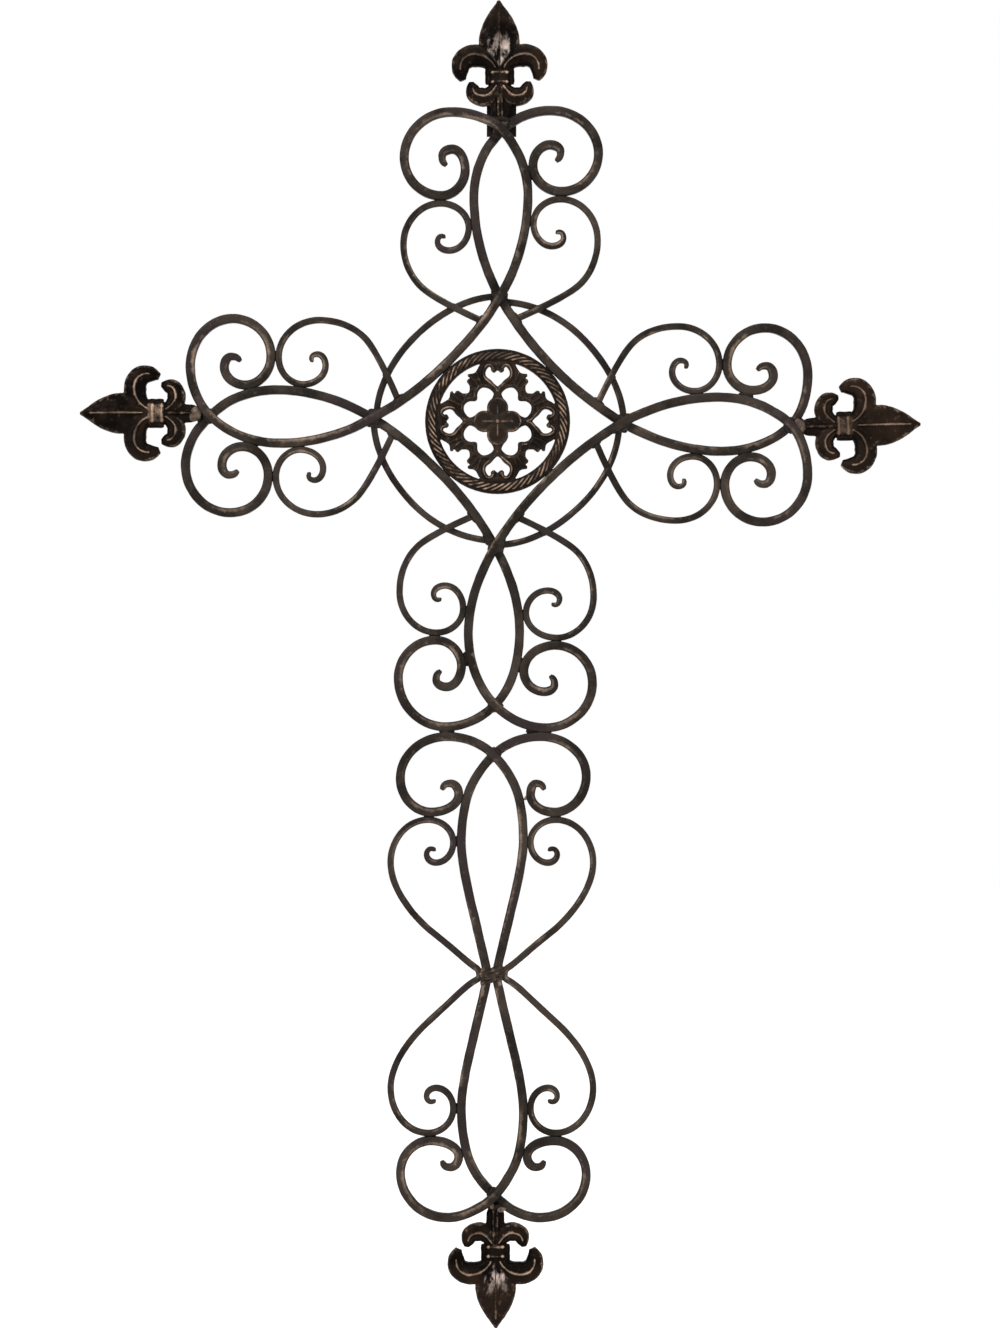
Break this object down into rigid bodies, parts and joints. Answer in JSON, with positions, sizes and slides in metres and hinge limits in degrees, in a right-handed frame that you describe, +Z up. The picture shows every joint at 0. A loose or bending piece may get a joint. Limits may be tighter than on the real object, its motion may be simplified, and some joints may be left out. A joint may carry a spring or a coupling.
{
  "type": "metal wall cross",
  "caption": "Wrought metal wall cross of bent scroll bars with fleur-de-lis ends and a round openwork rosette, hung by a plate behind its top.",
  "frame": {"origin": "on the back of the hanger plate, just above the keyhole slot that hangs on a nail", "axes": "+Z up, +Y into the wall, +X to the viewer's right; the cross's face looks along -Y"},
  "size_m": [0.4823, 0.0126, 0.7618],
  "materials": {
    "scroll_iron": "oil-rubbed bronze paint over bent iron bar, worn tan along the edges",
    "worn_binding": "bronze paint worn to tan",
    "rosette_casting": "cast, bronzed, worn along the raised edges",
    "finial_casting": "cast, bronzed, tan along the ridges",
    "hanger_steel": "dark painted sheet steel"
  },
  "bodies": {
    "root": {"heavy_bar_top_left": "scroll_iron", "heavy_bar_left_bottom": "scroll_iron", "heavy_bar_bottom_right": "scroll_iron", "heavy_bar_right_top": "scroll_iron", "light_scroll_top_left": "scroll_iron", "light_scroll_top_right": "scroll_iron", "light_scroll_left_lower": "scroll_iron", "light_scroll_left_upper": "scroll_iron", "light_scroll_bottom_right": "scroll_iron", "light_scroll_bottom_left": "scroll_iron", "light_scroll_right_upper": "scroll_iron", "light_scroll_right_lower": "scroll_iron", "ring_arc_top_left": "scroll_iron", "ring_arc_left_bottom": "scroll_iron", "ring_arc_bottom_right": "scroll_iron", "ring_arc_right_top": "scroll_iron", "shaft_bar_left": "scroll_iron", "shaft_bar_right": "scroll_iron", "heart_bar_left": "scroll_iron", "heart_bar_right": "scroll_iron", "waist_binding": "worn_binding", "rosette": "rosette_casting", "finial_top": "finial_casting", "finial_left": "finial_casting", "finial_bottom": "finial_casting", "finial_right": "finial_casting", "hanger_plate": "hanger_steel"}
  },
  "joints": []
}
